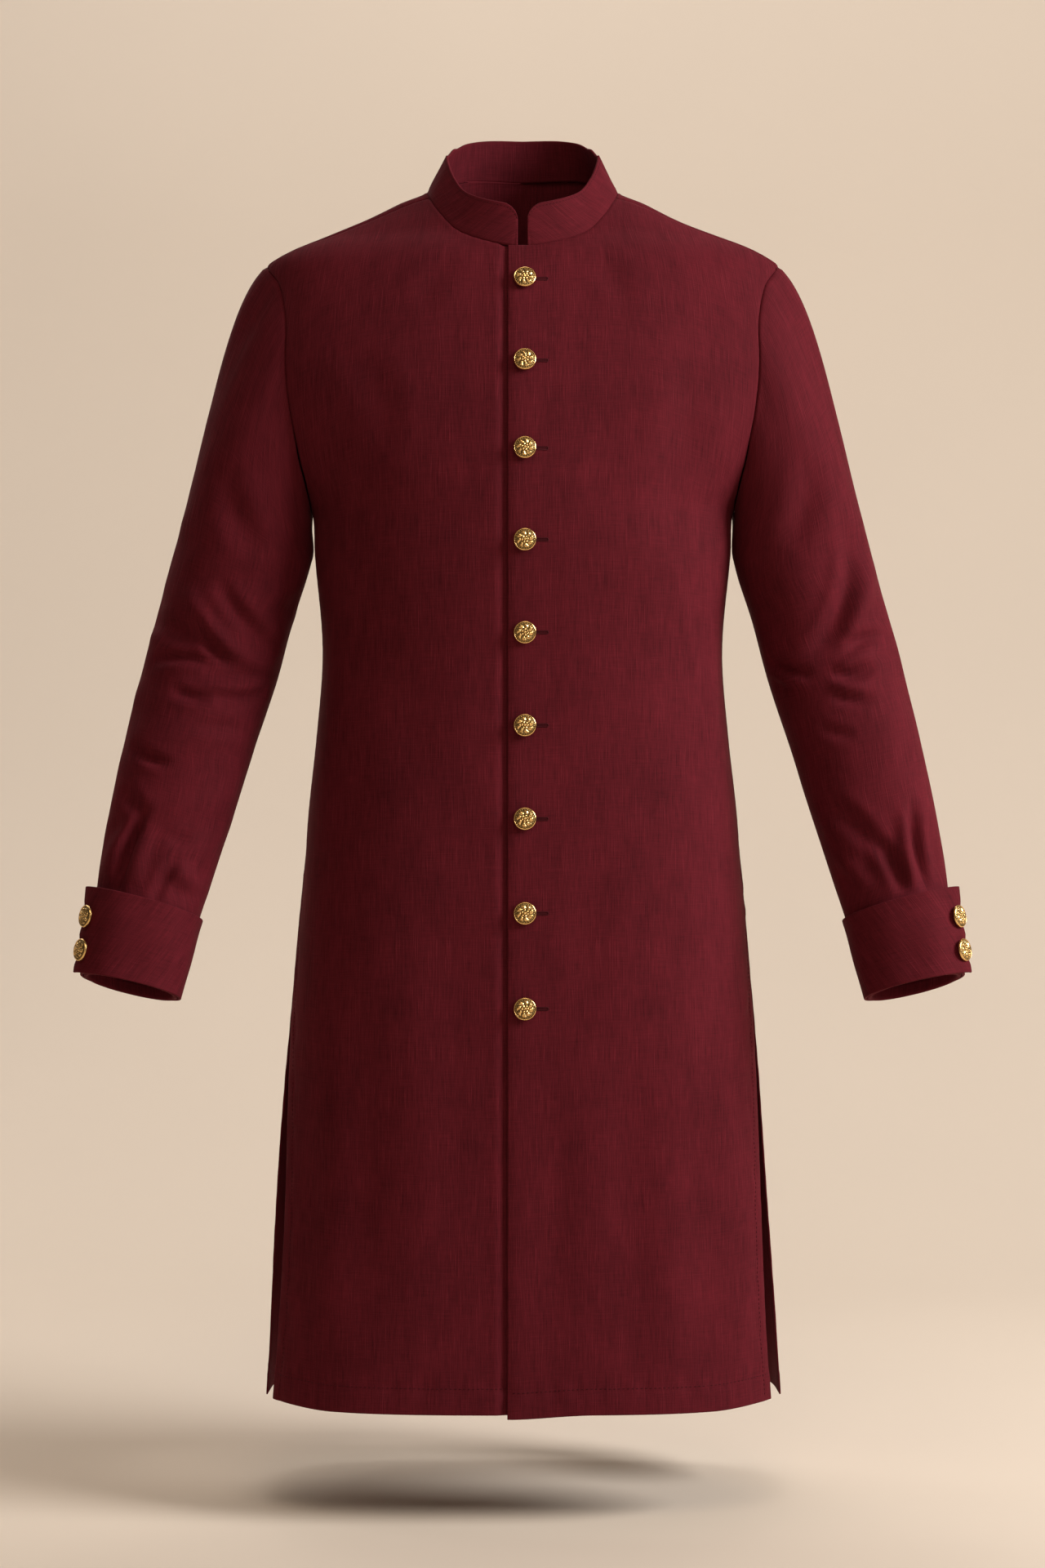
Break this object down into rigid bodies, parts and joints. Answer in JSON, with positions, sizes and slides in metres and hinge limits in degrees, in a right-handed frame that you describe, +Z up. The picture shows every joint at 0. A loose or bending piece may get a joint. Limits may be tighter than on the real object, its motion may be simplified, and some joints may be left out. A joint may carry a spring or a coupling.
{
  "type": "kurta",
  "caption": "Long knee-length kurta with a stand collar, buttoned front, set-in sleeves, turned-back cuffs and side slits, filled out as if worn.",
  "frame": {"origin": "midway between the two points where the shoulders meet the collar, where the garment hangs from its wearer", "axes": "+Z up along the wearer's body, -Y towards the front, +X to the wearer's left"},
  "size_m": [0.7856, 0.3075, 1.1466],
  "materials": {
    "maroon_cloth": "slubbed plain weave with a soft sheen",
    "gold_metal": "polished, embossed"
  },
  "bodies": {
    "root": {"front_left": "maroon_cloth", "front_right": "maroon_cloth", "back": "maroon_cloth", "collar": "maroon_cloth", "sleeve_left": "maroon_cloth", "sleeve_right": "maroon_cloth", "cuff_left": "maroon_cloth", "cuff_right": "maroon_cloth", "front_button_1": "gold_metal", "front_button_2": "gold_metal", "front_button_3": "gold_metal", "front_button_4": "gold_metal", "front_button_5": "gold_metal", "front_button_6": "gold_metal", "front_button_7": "gold_metal", "front_button_8": "gold_metal", "front_button_9": "gold_metal", "cuff_button_left_1": "gold_metal", "cuff_button_left_2": "gold_metal", "cuff_button_right_1": "gold_metal", "cuff_button_right_2": "gold_metal"}
  },
  "joints": []
}
